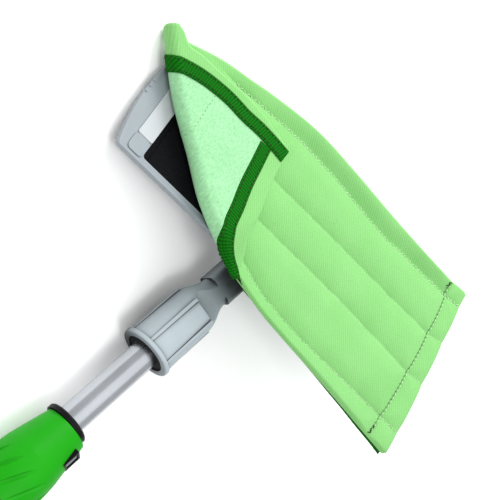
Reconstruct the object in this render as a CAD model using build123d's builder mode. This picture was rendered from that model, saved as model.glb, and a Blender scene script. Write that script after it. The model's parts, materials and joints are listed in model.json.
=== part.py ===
from build123d import *
from math import atan2, cos, degrees, sin
import os

os.makedirs("parts", exist_ok=True)

# A flat mop that lies on the floor with its cleaning face up: a telescopic pole, a swivelling
# head and a quilted microfibre cover with one corner peeled back. Millimetres, +Z up, and the
# origin is on the floor, in the middle of the footprint.

# How the mop lies: the pole runs along +Y towards the head, on its collar and hand grip, and
# it is rolled until the far corner of the plate touches the floor.
SWING_PIN_AT = (9.73, 302.11, 23.06)
POLE_PITCH = -0.55
POLE_ROLL = 15.99

# How the head is turned on its two hinges
SWING_ANGLE = 12.9
TILT_ANGLE = -5.0
TILT_TO_SWING = 22.0
TILT_TO_FACE = 24.0

# Plate, measured from its middle: X along the plate, Y across it, Z out of the cleaning face
PLATE_LENGTH = 254.0
PLATE_WIDTH = 84.0
PLATE_THICKNESS = 5.0
PLATE_BOW = 6.3
PLATE_CORNER = 2.4
RIM_WIDTH = 1.6
RIM_HEIGHT = 0.8
PLATE_SKIN = 3.0
NOTCHES = 3
NOTCH_LENGTH = 3.2
NOTCH_SPACING = 4.6
BACK_WALL = 1.8
BACK_RIBS_ACROSS = 9
TAB_X = 116.0
TAB_Y = 33.3
TAB_LENGTH = 12.0
TAB_WIDTH = 12.0
TAB_CORNER = 3.0
RIB = 1.6

# Black hook panel, let into the plate, and the pale strip at each end of it
PANEL_LENGTH = 219.0
PANEL_WIDTH = 75.0
PANEL_DEPTH = 1.6
PANEL_STEP_LENGTH = 211.0
PANEL_STEP = 0.6
STRIP_WIDTH = 12.0
STRIP_LENGTH = 54.0
STRIP_THICKNESS = 0.8
STRIP_CORNER = 1.2
STRIP_ROUND = 0.3

# Bracket on the back of the plate, and the tilt hinge
BRACKET_LENGTH = 60.0
BRACKET_WIDTH = 44.0
BRACKET_BASE = 3.0
BRACKET_CORNER = 5.0
CHEEK = 4.5
CHEEK_GAP = 27.0
CHEEK_RADIUS = 8.0
CHEEK_INSET = 4.0
BRACKET_SCREW_X = 24.0
BRACKET_SCREW_Y = 15.0
SCREW_RADIUS = 1.5
SCREW_HEAD_RADIUS = 3.0
SCREW_LENGTH = 6.4
SCREW_CLEARANCE = 0.2
SCREW_TAPER = 20.0
SLOT_LENGTH = 2.8
SLOT_WIDTH = 0.7
SLOT_DEPTH = 0.8
TILT_PIN_RADIUS = 2.5
RUNNING = 0.06
SIDE_PLAY = 0.35
WASHER = 1.0

# Swivel cross and the swing hinge
BARREL_RADIUS = 7.5
TONGUE_WIDTH = 21.0
TONGUE_THICKNESS = 9.0
TONGUE_ROUND = 1.5
SWING_PIN_RADIUS = 3.0
LUG_RADIUS = 11.0
LUG_THICKNESS = 4.8
FORK_ROUND = 4.0
PIN_HEAD_RADIUS = 5.0
PIN_HEAD = 1.4
PIN_HEAD_TAPER = 15.0
PIN_TIP = 1.2
PIN_CHAMFER = 0.6

# Distances along the pole, from the swing pin towards the hand grip
FORK_ROOT = 13.0
NECK_ROOT = 21.0
NECK_END = 36.0
SHOULDER_WAIST_AT = 48.0
HOLLOW_AT = 48.0
SOCKET_START = 60.0
FERRULE_END = 100.0
LIP_LENGTH = 3.0
LIP_ROUND = 1.0
SOCKET_WALL = 2.0
LINER_INSET = 1.0
INNER_TUBE_START = 64.0
INNER_TUBE_END = 650.0
COLLET_START = 164.0
COLLAR_START = 168.3
COLLAR_END = 249.0
OUTER_TUBE_START = 191.0
COLLET_END = 223.0
OUTER_TUBE_END = 684.0
GRIP_START = 566.0
GRIP_END = 688.0
EYE_AT = 708.0

# Radii about the pole's axis
NECK_RADIUS = 10.5
NECK_DRAFT = 1.5
SHOULDER_WAIST_RADIUS = 13.8
HOLLOW_RADIUS = 9.0
SHOULDER_RADIUS = 16.8
FERRULE_RADIUS = 17.6
LIP_RADIUS = 18.8
SOCKET_RADIUS = 14.4
FERRULE_RIBS = 6
FERRULE_RIB_WIDTH = 2.4
FERRULE_RIB_DEPTH = 2.8
FERRULE_RIB_CORNER = 0.5
FERRULE_RIB_LEAD = 4.0
FERRULE_SCREW_AT = 80.0
FERRULE_SCREW_ANGLE = -90.0
DRILL_LEAD = 1.0
INNER_RADIUS = 9.5
OUTER_RADIUS = 11.0
TUBE_WALL = 1.2
GUIDE_PLUG = 18.0
GUIDE_LENGTH = 10.0
GUIDE_WALL = 2.0
COLLET_RADIUS = 12.8
NOSE_RADIUS = 15.0
NOSE_CHAMFER = 1.0
COLLET_STEP = 0.5
SLITS = 4
SLIT_INSET = 3.0
SLIT_DEPTH = 8.0
SLIT_WIDTH = 1.2
COLLAR_NOSE_RADIUS = 15.4
COLLAR_RADIUS = 21.4
COLLAR_TAIL_RADIUS = 17.0
COLLAR_OFFSET = 2.0
COLLAR_FRONT_DROP = 0.9
COLLAR_WAIST_DROP = 0.6
COLLAR_TAIL_DROP = 2.0
COLLAR_FRONT_BLEND = 6.0
COLLAR_CREST = 4.0
COLLAR_TAIL_BLEND = 8.0
COLLAR_WIDEST_AT = 201.0
COLLAR_WAIST_AT = 227.0
GROOVES = 12
GROOVE_RADIUS = 1.5
GROOVE_LENGTH = 44.0
GROOVE_SKEW = 24.0
GROOVE_TURN = 15.0
GROOVE_LIFT = 0.5
WINDOW_AT = 180.0
WINDOW_ANGLE = 38.0
WINDOW_LENGTH = 9.0
WINDOW_WIDTH = 6.5
WINDOW_SINK = 0.4
WINDOW_CUT = 10.0
FRAME_DEPTH = 3.4
INDICATOR_DEPTH = 2.4
INDICATOR_ROUND = 0.5
BEZEL = 1.4
GRIP_RADIUS = 16.0
GRIP_RINGS = 9
GRIP_ROUND = 1.6
GRIP_RING_START = 18.0
GRIP_RING_PITCH = 11.0
GRIP_RING_DEPTH = 0.9
GRIP_RING_WIDTH = 2.2
CAP_RADIUS = 16.4
CAP_THICKNESS = 15.0
CAP_FLAT = 0.4
CAP_ROUND = 3.0
CAP_FLANGE = 4.0
CAP_PLUG = 14.0
EYE_RADIUS = 5.0

# Cover, in the plate's frame: the sewn pad, its peeled corner and the binding tapes
COVER_THICKNESS = 4.8
COVER_GAP = 0.4
FAR_LEFT = (-134.0, 40.0)
FAR_MIDDLE = (20.0, 67.8)
FAR_RIGHT = (149.0, 65.0)
NEAR_RIGHT = (147.0, -74.0)
FOLD_TOP = (-147.0, 32.0)
FOLD_MIDDLE = (-87.0, -19.0)
FOLD_BOTTOM = (-18.0, -57.0)
FLAP_CORNER = (-36.0, 32.0)
FLAP_GAP = 0.3
FLAP_THICKNESS = 7.5
TAPE_WIDTH = 9.0
TAPE_THICKNESS = 1.0
TAPE_INSET = 6.0
TAPE_TAIL = 6.0
LEFT_TAPE_START = (-127.0, 32.0)
LEFT_TAPE_INSET = 3.0
FOLDED_TAPE_START = (-37.0, 15.0)
FOLDED_TAPE_END = (-21.0, -41.0)
NEAR_TAPE = (60.0, -51.0)
NEAR_TAPE_LENGTH = 140.0
FAR_TAPE = (15.0, 51.0)
FAR_TAPE_LENGTH = 236.0
RIGHT_TAPE = (139.0, -4.0)
RIGHT_TAPE_LENGTH = 124.0

# Frames. pole: Z towards the hand grip, Y out of the cleaning face. head: the plate's frame.
pole = Plane(
    Location(SWING_PIN_AT)
    * Location((0, 0, 0), (90 - POLE_PITCH, 0, 0))
    * Location((0, 0, 0), (0, 0, POLE_ROLL))
)
turned_pole = Plane(pole.location * Location((0, 0, 0), (0, 0, 90)))
cross = Plane(pole.location * Location((0, 0, 0), (0, SWING_ANGLE, 0)))
tilt = Plane(
    cross.location
    * Location((0, 0, -TILT_TO_SWING))
    * Location((0, 0, 0), (TILT_ANGLE - 90, 0, 0))
)
head = tilt.offset(TILT_TO_FACE)
plate_back = head.offset(-PLATE_THICKNESS)

# Directions that edges and faces are chosen by
face_axis = Axis(head.origin, head.z_dir)
tilt_axis = Axis(tilt.origin, tilt.x_dir)
pole_axis = Axis(pole.origin, pole.z_dir)
pole_up = Axis(pole.origin, pole.y_dir)


def along(frame, distance):
    """A plane across a frame's X axis, at a distance from its origin, with the frame's Y up."""
    return Plane(frame.location * Location((distance, 0, 0)) * Location((0, 0, 0), (0, 90, 0)))


def half_section(frame):
    """The plane of a revolved profile: X is the radius, and Y runs along the frame's Z."""
    return Plane(frame.location * Location((0, 0, 0), (90, 0, 0)))


def around(frame, distance, angle, radius):
    """A plane on the skin of a round part, looking out of it, with its X along the frame's Z."""
    return Plane(
        frame.location
        * Location((0, 0, distance), (0, 0, angle))
        * Location((radius, 0, 0), (0, 90, 0))
    )


def plate_outline(inset):
    """The plate's outline in the open sketch, drawn in by inset: both ends bow outwards."""
    half = PLATE_LENGTH / 2 - inset
    side = PLATE_WIDTH / 2 - inset
    with BuildLine() as edge:
        Line((-half, -side), (half, -side))
        ThreePointArc((half, -side), (half + PLATE_BOW, 0), (half, side))
        Line((half, side), (-half, side))
        ThreePointArc((-half, side), (-half - PLATE_BOW, 0), (-half, -side))
    make_face(edge.edges())


# Head plate: a tray with a raised rim on the cleaning face and ribs on its back
with BuildPart() as base_plate:
    with BuildSketch(plate_back) as outline:
        plate_outline(0)
        fillet(outline.vertices(), PLATE_CORNER)
    extrude(amount=PLATE_THICKNESS)
    with BuildSketch(head) as face_recess:
        plate_outline(RIM_WIDTH)
        fillet(face_recess.vertices(), PLATE_CORNER - RIM_WIDTH)
    extrude(amount=-RIM_HEIGHT, mode=Mode.SUBTRACT)
    with BuildSketch(head.offset(-RIM_HEIGHT)):
        RectangleRounded(PANEL_LENGTH, PANEL_WIDTH, PLATE_CORNER)
    extrude(amount=-PANEL_DEPTH, mode=Mode.SUBTRACT)
    with BuildSketch(head.offset(-RIM_HEIGHT)):
        with GridLocations(2 * TAB_X, 2 * TAB_Y, 2, 2):
            RectangleRounded(TAB_LENGTH, TAB_WIDTH, TAB_CORNER)
    extrude(amount=RIM_HEIGHT)
    with BuildSketch(plate_back) as back_recess:
        plate_outline(BACK_WALL)
        fillet(back_recess.vertices(), PLATE_CORNER - BACK_WALL)
        Rectangle(BRACKET_LENGTH, BRACKET_WIDTH, mode=Mode.SUBTRACT)
        with GridLocations(0, PLATE_WIDTH / 3, 1, 2):
            Rectangle(PLATE_LENGTH, RIB, mode=Mode.SUBTRACT)
        with GridLocations(PLATE_LENGTH / (BACK_RIBS_ACROSS - 1), 0, BACK_RIBS_ACROSS, 1):
            Rectangle(RIB, PLATE_WIDTH, mode=Mode.SUBTRACT)
    extrude(amount=PLATE_THICKNESS - PLATE_SKIN - PANEL_DEPTH + RIM_HEIGHT, mode=Mode.SUBTRACT)
    with BuildSketch(plate_back):
        with GridLocations(2 * BRACKET_SCREW_X, 2 * BRACKET_SCREW_Y, 2, 2):
            Circle(SCREW_RADIUS)
    extrude(amount=SCREW_LENGTH - BRACKET_BASE - PIN_HEAD, mode=Mode.SUBTRACT)
    with BuildSketch(head.offset(-RIM_HEIGHT)):
        with GridLocations(PLATE_LENGTH + 2 * PLATE_BOW, NOTCH_SPACING, 2, NOTCHES):
            Rectangle(3 * RIM_WIDTH, NOTCH_LENGTH)
    extrude(amount=RIM_HEIGHT, mode=Mode.SUBTRACT)
base_plate.part.label = "base_plate"
export_step(base_plate.part, "parts/base_plate.step")

# Hook panel: a slab with its working area raised by one step
with BuildPart() as hook_panel:
    with BuildSketch(head.offset(-RIM_HEIGHT - PANEL_DEPTH)):
        RectangleRounded(PANEL_LENGTH, PANEL_WIDTH, PLATE_CORNER)
    extrude(amount=PANEL_DEPTH - PANEL_STEP)
    with BuildSketch(head.offset(-RIM_HEIGHT - PANEL_STEP)):
        RectangleRounded(PANEL_STEP_LENGTH, PANEL_WIDTH - PANEL_STEP, PLATE_CORNER)
    extrude(amount=PANEL_STEP)
hook_panel.part.label = "hook_panel"
export_step(hook_panel.part, "parts/hook_panel.step")

# Pale strips between the hook panel and the two short ends
for side_name, side in (("left", -1), ("right", 1)):
    strip_x = side * (PANEL_LENGTH + STRIP_WIDTH) / 2
    with BuildPart() as end_strip:
        with BuildSketch(head.offset(-RIM_HEIGHT)):
            with Locations((strip_x, 0)):
                RectangleRounded(STRIP_WIDTH, STRIP_LENGTH, STRIP_CORNER)
        extrude(amount=STRIP_THICKNESS)
        top = end_strip.faces().sort_by(face_axis)[-1]
        fillet(top.edges(), STRIP_ROUND)
    end_strip.part.label = f"end_strip_{side_name}"
    export_step(end_strip.part, f"parts/end_strip_{side_name}.step")

# Bracket: a base screwed to the plate, with two cheeks that hold the tilt pin
with BuildPart() as plate_bracket:
    with BuildSketch(plate_back):
        RectangleRounded(BRACKET_LENGTH, BRACKET_WIDTH, BRACKET_CORNER)
    extrude(amount=-BRACKET_BASE)
    for side in (-1, 1):
        inner = side * CHEEK_GAP / 2
        with BuildSketch(along(tilt, inner)) as cheek:
            Circle(CHEEK_RADIUS)
            with BuildLine():
                Polyline(
                    (0, -CHEEK_RADIUS),
                    (-(TILT_TO_FACE - PLATE_THICKNESS - BRACKET_BASE), CHEEK_INSET - BRACKET_WIDTH / 2),
                    (-(TILT_TO_FACE - PLATE_THICKNESS - BRACKET_BASE), BRACKET_WIDTH / 2 - CHEEK_INSET),
                    (0, CHEEK_RADIUS),
                    close=True,
                )
            make_face()
        extrude(amount=side * CHEEK)
    with BuildSketch(along(tilt, -CHEEK_GAP)):
        Circle(TILT_PIN_RADIUS)
    extrude(amount=2 * CHEEK_GAP, mode=Mode.SUBTRACT)
    with BuildSketch(plate_back):
        with GridLocations(2 * BRACKET_SCREW_X, 2 * BRACKET_SCREW_Y, 2, 2):
            Circle(SCREW_RADIUS)
    extrude(amount=-BRACKET_BASE, mode=Mode.SUBTRACT)
plate_bracket.part.label = "plate_bracket"
export_step(plate_bracket.part, "parts/plate_bracket.step")

# Four bracket screws with domed heads and a cross slot
screw_seat = plate_back.offset(-BRACKET_BASE)
with BuildPart() as bracket_screws:
    with BuildSketch(screw_seat):
        with GridLocations(2 * BRACKET_SCREW_X, 2 * BRACKET_SCREW_Y, 2, 2):
            Circle(SCREW_RADIUS)
    extrude(amount=SCREW_LENGTH - PIN_HEAD - SCREW_CLEARANCE)
    with BuildSketch(screw_seat):
        with GridLocations(2 * BRACKET_SCREW_X, 2 * BRACKET_SCREW_Y, 2, 2):
            Circle(SCREW_HEAD_RADIUS)
    extrude(amount=-PIN_HEAD, taper=SCREW_TAPER)
    with BuildSketch(screw_seat.offset(-PIN_HEAD)):
        with GridLocations(2 * BRACKET_SCREW_X, 2 * BRACKET_SCREW_Y, 2, 2):
            Rectangle(SLOT_LENGTH, SLOT_WIDTH)
            Rectangle(SLOT_WIDTH, SLOT_LENGTH)
    extrude(amount=SLOT_DEPTH, mode=Mode.SUBTRACT)
bracket_screws.part.label = "bracket_screws"
export_step(bracket_screws.part, "parts/bracket_screws.step")

# Tilt pin: pressed into the cheeks, with a head on one side
with BuildPart() as tilt_pin:
    with BuildSketch(along(tilt, -CHEEK_GAP / 2 - CHEEK)):
        Circle(TILT_PIN_RADIUS)
    extrude(amount=CHEEK_GAP + 2 * CHEEK + PIN_TIP)
    with BuildSketch(along(tilt, -CHEEK_GAP / 2 - CHEEK)):
        Circle(PIN_HEAD_RADIUS)
    extrude(amount=-PIN_HEAD)
    chamfer(tilt_pin.edges().filter_by(GeomType.CIRCLE).sort_by(tilt_axis)[-1], PIN_CHAMFER)
tilt_pin.part.label = "tilt_pin"
export_step(tilt_pin.part, "parts/tilt_pin.step")

# Two thrust washers between the swivel cross and the cheeks
with BuildPart() as tilt_washers:
    for side in (-1, 1):
        with BuildSketch(along(tilt, side * CHEEK_GAP / 2)):
            Circle(BARREL_RADIUS - WASHER)
            Circle(TILT_PIN_RADIUS, mode=Mode.SUBTRACT)
        extrude(amount=-side * WASHER)
tilt_washers.part.label = "tilt_washers"
export_step(tilt_washers.part, "parts/tilt_washers.step")

# Swivel cross: a barrel on the tilt pin with a tongue that the swing pin goes through
barrel_half = CHEEK_GAP / 2 - WASHER - SIDE_PLAY
with BuildPart() as swivel_cross:
    with BuildSketch(along(tilt, -barrel_half)):
        Circle(BARREL_RADIUS)
    extrude(amount=2 * barrel_half)
    with BuildSketch(half_section(cross).offset(-TONGUE_THICKNESS / 2)):
        Circle(TONGUE_WIDTH / 2)
        with Locations((0, -TILT_TO_SWING / 2)):
            Rectangle(TONGUE_WIDTH, TILT_TO_SWING)
    extrude(amount=TONGUE_THICKNESS)
    fillet(swivel_cross.edges().filter_by(Axis((0, 0, 0), cross.z_dir)), TONGUE_ROUND)
    with BuildSketch(along(tilt, -barrel_half)):
        Circle(TILT_PIN_RADIUS + RUNNING)
    extrude(amount=2 * barrel_half, mode=Mode.SUBTRACT)
    with BuildSketch(half_section(cross).offset(-TONGUE_THICKNESS / 2)):
        Circle(SWING_PIN_RADIUS + RUNNING)
    extrude(amount=TONGUE_THICKNESS, mode=Mode.SUBTRACT)
swivel_cross.part.label = "swivel_cross"
export_step(swivel_cross.part, "parts/swivel_cross.step")

# Ferrule: the fork, neck, shoulder and socket are one grey moulding
fork_gap = TONGUE_THICKNESS + 2 * SIDE_PLAY
fork_height = fork_gap + 2 * LUG_THICKNESS
with BuildPart() as ferrule_neck:
    with BuildSketch(half_section(pole).offset(-fork_height / 2)):
        Circle(LUG_RADIUS)
        with Locations((0, NECK_END / 2)):
            Rectangle(2 * LUG_RADIUS, NECK_END)
    extrude(amount=fork_height)
    fillet(ferrule_neck.edges().filter_by(pole_axis), FORK_ROUND)
    with BuildSketch(half_section(pole)):
        with BuildLine():
            Line((0, NECK_ROOT), (NECK_RADIUS - 1.5, NECK_ROOT))
            Line((NECK_RADIUS - NECK_DRAFT, NECK_ROOT), (NECK_RADIUS, NECK_END))
            Spline(
                (NECK_RADIUS, NECK_END),
                (SHOULDER_WAIST_RADIUS, SHOULDER_WAIST_AT),
                (SHOULDER_RADIUS, SOCKET_START),
                tangents=((0, 1), (0, 1)),
            )
            Line((SHOULDER_RADIUS, SOCKET_START), (FERRULE_RADIUS, FERRULE_END - LIP_LENGTH))
            Line((FERRULE_RADIUS, FERRULE_END - LIP_LENGTH), (LIP_RADIUS, FERRULE_END - LIP_LENGTH))
            Line((LIP_RADIUS, FERRULE_END - LIP_LENGTH), (LIP_RADIUS, FERRULE_END))
            Line((LIP_RADIUS, FERRULE_END), (0, FERRULE_END))
            Line((0, FERRULE_END), (0, NECK_ROOT))
        make_face()
    revolve(axis=pole_axis)
    with BuildSketch(half_section(turned_pole)):
        with GridLocations(fork_height + 2 * HOLLOW_RADIUS, 0, 2, 1):
            with Locations((0, HOLLOW_AT)):
                Circle(HOLLOW_RADIUS)
            with Locations((0, HOLLOW_AT - HOLLOW_RADIUS)):
                Rectangle(2 * HOLLOW_RADIUS, 2 * HOLLOW_RADIUS)
    extrude(amount=SHOULDER_RADIUS, both=True, mode=Mode.SUBTRACT)
    with BuildSketch(pole.offset(SOCKET_START - FERRULE_RIB_LEAD)):
        with PolarLocations(SHOULDER_RADIUS, FERRULE_RIBS):
            RectangleRounded(FERRULE_RIB_DEPTH, FERRULE_RIB_WIDTH, FERRULE_RIB_CORNER)
    extrude(amount=FERRULE_END - LIP_LENGTH - SOCKET_START + FERRULE_RIB_LEAD)
    lip_edges = ferrule_neck.edges().filter_by(GeomType.CIRCLE).group_by(pole_axis)[-1]
    fillet(lip_edges, LIP_ROUND)
    with BuildSketch(pole.offset(SOCKET_START + SOCKET_WALL)):
        Circle(SOCKET_RADIUS)
    extrude(amount=FERRULE_END, mode=Mode.SUBTRACT)
    with BuildSketch(half_section(pole).offset(-fork_gap / 2)):
        Rectangle(4 * LUG_RADIUS, 2 * FORK_ROOT)
    extrude(amount=fork_gap, mode=Mode.SUBTRACT)
    with BuildSketch(half_section(pole).offset(-fork_height / 2)):
        Circle(SWING_PIN_RADIUS)
    extrude(amount=fork_height, mode=Mode.SUBTRACT)
    with BuildSketch(around(pole, FERRULE_SCREW_AT, FERRULE_SCREW_ANGLE, SOCKET_RADIUS - DRILL_LEAD)):
        Circle(SCREW_RADIUS)
    extrude(amount=FERRULE_RADIUS, mode=Mode.SUBTRACT)
ferrule_neck.part.label = "ferrule_neck"
export_step(ferrule_neck.part, "parts/ferrule_neck.step")

# Swing pin: pressed through both fork lugs, with a flat head
with BuildPart() as swing_pin:
    with BuildSketch(half_section(pole).offset(-fork_height / 2 - PIN_TIP)):
        Circle(SWING_PIN_RADIUS)
    extrude(amount=fork_height + PIN_TIP)
    with BuildSketch(half_section(pole).offset(fork_height / 2)):
        Circle(PIN_HEAD_RADIUS)
    extrude(amount=PIN_HEAD, taper=PIN_HEAD_TAPER)
swing_pin.part.label = "swing_pin"
export_step(swing_pin.part, "parts/swing_pin.step")

# Black liner that grips the tube in the ferrule's socket
with BuildPart() as ferrule_liner:
    with BuildSketch(pole.offset(INNER_TUBE_START)):
        Circle(SOCKET_RADIUS)
        Circle(INNER_RADIUS, mode=Mode.SUBTRACT)
    extrude(amount=FERRULE_END - INNER_TUBE_START - LINER_INSET)
    with BuildSketch(around(pole, FERRULE_SCREW_AT, FERRULE_SCREW_ANGLE, INNER_RADIUS - DRILL_LEAD)):
        Circle(SCREW_RADIUS)
    extrude(amount=SOCKET_RADIUS, mode=Mode.SUBTRACT)
ferrule_liner.part.label = "ferrule_liner"
export_step(ferrule_liner.part, "parts/ferrule_liner.step")

# Screw that stops the ferrule from coming off the tube
with BuildPart() as ferrule_screw:
    with BuildSketch(around(pole, FERRULE_SCREW_AT, FERRULE_SCREW_ANGLE, INNER_RADIUS)):
        Circle(SCREW_RADIUS)
    extrude(amount=FERRULE_RADIUS - INNER_RADIUS)
    with BuildSketch(around(pole, FERRULE_SCREW_AT, FERRULE_SCREW_ANGLE, FERRULE_RADIUS)):
        Circle(SCREW_HEAD_RADIUS)
    extrude(amount=PIN_HEAD, taper=SCREW_TAPER)
    with BuildSketch(around(pole, FERRULE_SCREW_AT, FERRULE_SCREW_ANGLE, FERRULE_RADIUS + PIN_HEAD)):
        Rectangle(SLOT_LENGTH, SLOT_WIDTH)
    extrude(amount=-SLOT_DEPTH, mode=Mode.SUBTRACT)
ferrule_screw.part.label = "ferrule_screw"
export_step(ferrule_screw.part, "parts/ferrule_screw.step")

# The two aluminium tubes
with BuildPart() as inner_tube:
    with BuildSketch(pole.offset(INNER_TUBE_START)):
        Circle(INNER_RADIUS)
        Circle(INNER_RADIUS - TUBE_WALL, mode=Mode.SUBTRACT)
    extrude(amount=INNER_TUBE_END - INNER_TUBE_START)
inner_tube.part.label = "inner_tube"
export_step(inner_tube.part, "parts/inner_tube.step")

with BuildPart() as outer_tube:
    with BuildSketch(pole.offset(OUTER_TUBE_START)):
        Circle(OUTER_RADIUS)
        Circle(OUTER_RADIUS - TUBE_WALL, mode=Mode.SUBTRACT)
    extrude(amount=OUTER_TUBE_END - OUTER_TUBE_START)
outer_tube.part.label = "outer_tube"
export_step(outer_tube.part, "parts/outer_tube.step")

# Guide plug in the inner tube's end, which slides in the outer tube
guide_radius = OUTER_RADIUS - TUBE_WALL - RUNNING
with BuildPart() as tube_guide:
    with BuildSketch(pole.offset(INNER_TUBE_END - GUIDE_PLUG)):
        Circle(INNER_RADIUS - TUBE_WALL)
    extrude(amount=GUIDE_PLUG)
    with BuildSketch(pole.offset(INNER_TUBE_END)):
        Circle(guide_radius)
    extrude(amount=GUIDE_LENGTH)
    with BuildSketch(pole.offset(INNER_TUBE_END - GUIDE_PLUG)):
        Circle(INNER_RADIUS - TUBE_WALL - GUIDE_WALL)
    extrude(amount=GUIDE_PLUG + GUIDE_LENGTH, mode=Mode.SUBTRACT)
tube_guide.part.label = "tube_guide"
export_step(tube_guide.part, "parts/tube_guide.step")

# Collet: the black ring in front, and a split sleeve pushed onto the outer tube's end
with BuildPart() as collet:
    with BuildSketch(half_section(pole)):
        with BuildLine():
            Polyline(
                (INNER_RADIUS + RUNNING, COLLET_START),
                (NOSE_RADIUS - NOSE_CHAMFER, COLLET_START),
                (NOSE_RADIUS, COLLET_START + NOSE_CHAMFER),
                (NOSE_RADIUS, COLLAR_START - COLLET_STEP),
                (COLLET_RADIUS, COLLAR_START - COLLET_STEP),
                (COLLET_RADIUS, COLLET_END),
                (OUTER_RADIUS, COLLET_END),
                (OUTER_RADIUS, OUTER_TUBE_START),
                (INNER_RADIUS + RUNNING, OUTER_TUBE_START),
                close=True,
            )
        make_face()
    revolve(axis=pole_axis)
    with BuildSketch(pole.offset(COLLAR_START + SLIT_INSET)):
        with PolarLocations(COLLET_RADIUS, SLITS):
            Rectangle(SLIT_DEPTH, SLIT_WIDTH)
    extrude(amount=OUTER_TUBE_START - COLLAR_START - 2 * SLIT_INSET, mode=Mode.SUBTRACT)
collet.part.label = "collet"
export_step(collet.part, "parts/collet.step")

# Lock collar: an eccentric, flared sleeve with skewed grip grooves, bored to turn on the collet
collar_axis = Plane(pole.location * Location((COLLAR_OFFSET, 0, 0)))
groove_middle = (COLLAR_WAIST_AT + COLLAR_WIDEST_AT) / 2
window_seat = COLLAR_NOSE_RADIUS + COLLAR_OFFSET - WINDOW_SINK
with BuildPart() as lock_collar:
    with BuildSketch(half_section(collar_axis)):
        with BuildLine():
            Line((0, COLLAR_START), (COLLAR_NOSE_RADIUS, COLLAR_START))
            Line(
                (COLLAR_NOSE_RADIUS, COLLAR_START),
                (COLLAR_RADIUS - COLLAR_FRONT_DROP, COLLAR_WIDEST_AT - COLLAR_FRONT_BLEND),
            )
            ThreePointArc(
                (COLLAR_RADIUS - COLLAR_FRONT_DROP, COLLAR_WIDEST_AT - COLLAR_FRONT_BLEND),
                (COLLAR_RADIUS, COLLAR_WIDEST_AT + COLLAR_CREST),
                (COLLAR_RADIUS - COLLAR_WAIST_DROP, COLLAR_WAIST_AT),
            )
            ThreePointArc(
                (COLLAR_RADIUS - COLLAR_WAIST_DROP, COLLAR_WAIST_AT),
                (COLLAR_RADIUS - COLLAR_TAIL_DROP, COLLAR_END - COLLAR_TAIL_BLEND),
                (COLLAR_TAIL_RADIUS, COLLAR_END),
            )
            Line((COLLAR_TAIL_RADIUS, COLLAR_END), (0, COLLAR_END))
            Line((0, COLLAR_END), (0, COLLAR_START))
        make_face()
    revolve(axis=Axis(collar_axis.origin, pole.z_dir))
    for groove in range(GROOVES):
        groove_plane = Plane(
            collar_axis.location
            * Location((0, 0, groove_middle), (0, 0, 360 / GROOVES * groove + GROOVE_TURN))
            * Location((COLLAR_RADIUS + GROOVE_LIFT, 0, 0), (-GROOVE_SKEW, 0, 0))
        )
        with BuildSketch(groove_plane.offset(-GROOVE_LENGTH / 2)):
            Circle(GROOVE_RADIUS)
        extrude(amount=GROOVE_LENGTH, mode=Mode.SUBTRACT)
    with BuildSketch(pole.offset(COLLAR_START)):
        Circle(COLLET_RADIUS + RUNNING)
    extrude(amount=COLLAR_END, mode=Mode.SUBTRACT)
    with BuildSketch(around(pole, WINDOW_AT, WINDOW_ANGLE, window_seat)):
        Rectangle(WINDOW_LENGTH + 2 * BEZEL, WINDOW_WIDTH + 2 * BEZEL)
    extrude(amount=WINDOW_CUT, mode=Mode.SUBTRACT)
lock_collar.part.label = "lock_collar"
export_step(lock_collar.part, "parts/lock_collar.step")

# Lock indicator: a dark frame with a pale insert, let into the collar
with BuildPart() as indicator_frame:
    with BuildSketch(around(pole, WINDOW_AT, WINDOW_ANGLE, window_seat)):
        Rectangle(WINDOW_LENGTH + 2 * BEZEL, WINDOW_WIDTH + 2 * BEZEL)
        Rectangle(WINDOW_LENGTH, WINDOW_WIDTH, mode=Mode.SUBTRACT)
    extrude(amount=FRAME_DEPTH)
indicator_frame.part.label = "indicator_frame"
export_step(indicator_frame.part, "parts/indicator_frame.step")

with BuildPart() as indicator:
    with BuildSketch(around(pole, WINDOW_AT, WINDOW_ANGLE, window_seat)):
        Rectangle(WINDOW_LENGTH, WINDOW_WIDTH)
    extrude(amount=INDICATOR_DEPTH)
    window_out = around(pole, WINDOW_AT, WINDOW_ANGLE, 0)
    fillet(indicator.edges().group_by(Axis(window_out.origin, window_out.z_dir))[-1], INDICATOR_ROUND)
indicator.part.label = "indicator"
export_step(indicator.part, "parts/indicator.step")

# Hand grip: a soft sleeve with finger rings
with BuildPart() as hand_grip:
    with BuildSketch(pole.offset(GRIP_START)):
        Circle(GRIP_RADIUS)
        Circle(OUTER_RADIUS, mode=Mode.SUBTRACT)
    extrude(amount=GRIP_END - GRIP_START)
    grip_ends = hand_grip.edges().filter_by(GeomType.CIRCLE).filter_by(
        lambda edge: edge.radius > OUTER_RADIUS + RUNNING
    )
    fillet(grip_ends, GRIP_ROUND)
    for ring in range(GRIP_RINGS):
        with BuildSketch(pole.offset(GRIP_START + GRIP_RING_START + ring * GRIP_RING_PITCH)):
            Circle(GRIP_RADIUS + GRIP_RING_DEPTH)
            Circle(GRIP_RADIUS - GRIP_RING_DEPTH, mode=Mode.SUBTRACT)
        extrude(amount=GRIP_RING_WIDTH, mode=Mode.SUBTRACT)
hand_grip.part.label = "hand_grip"
export_step(hand_grip.part, "parts/hand_grip.step")

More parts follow.
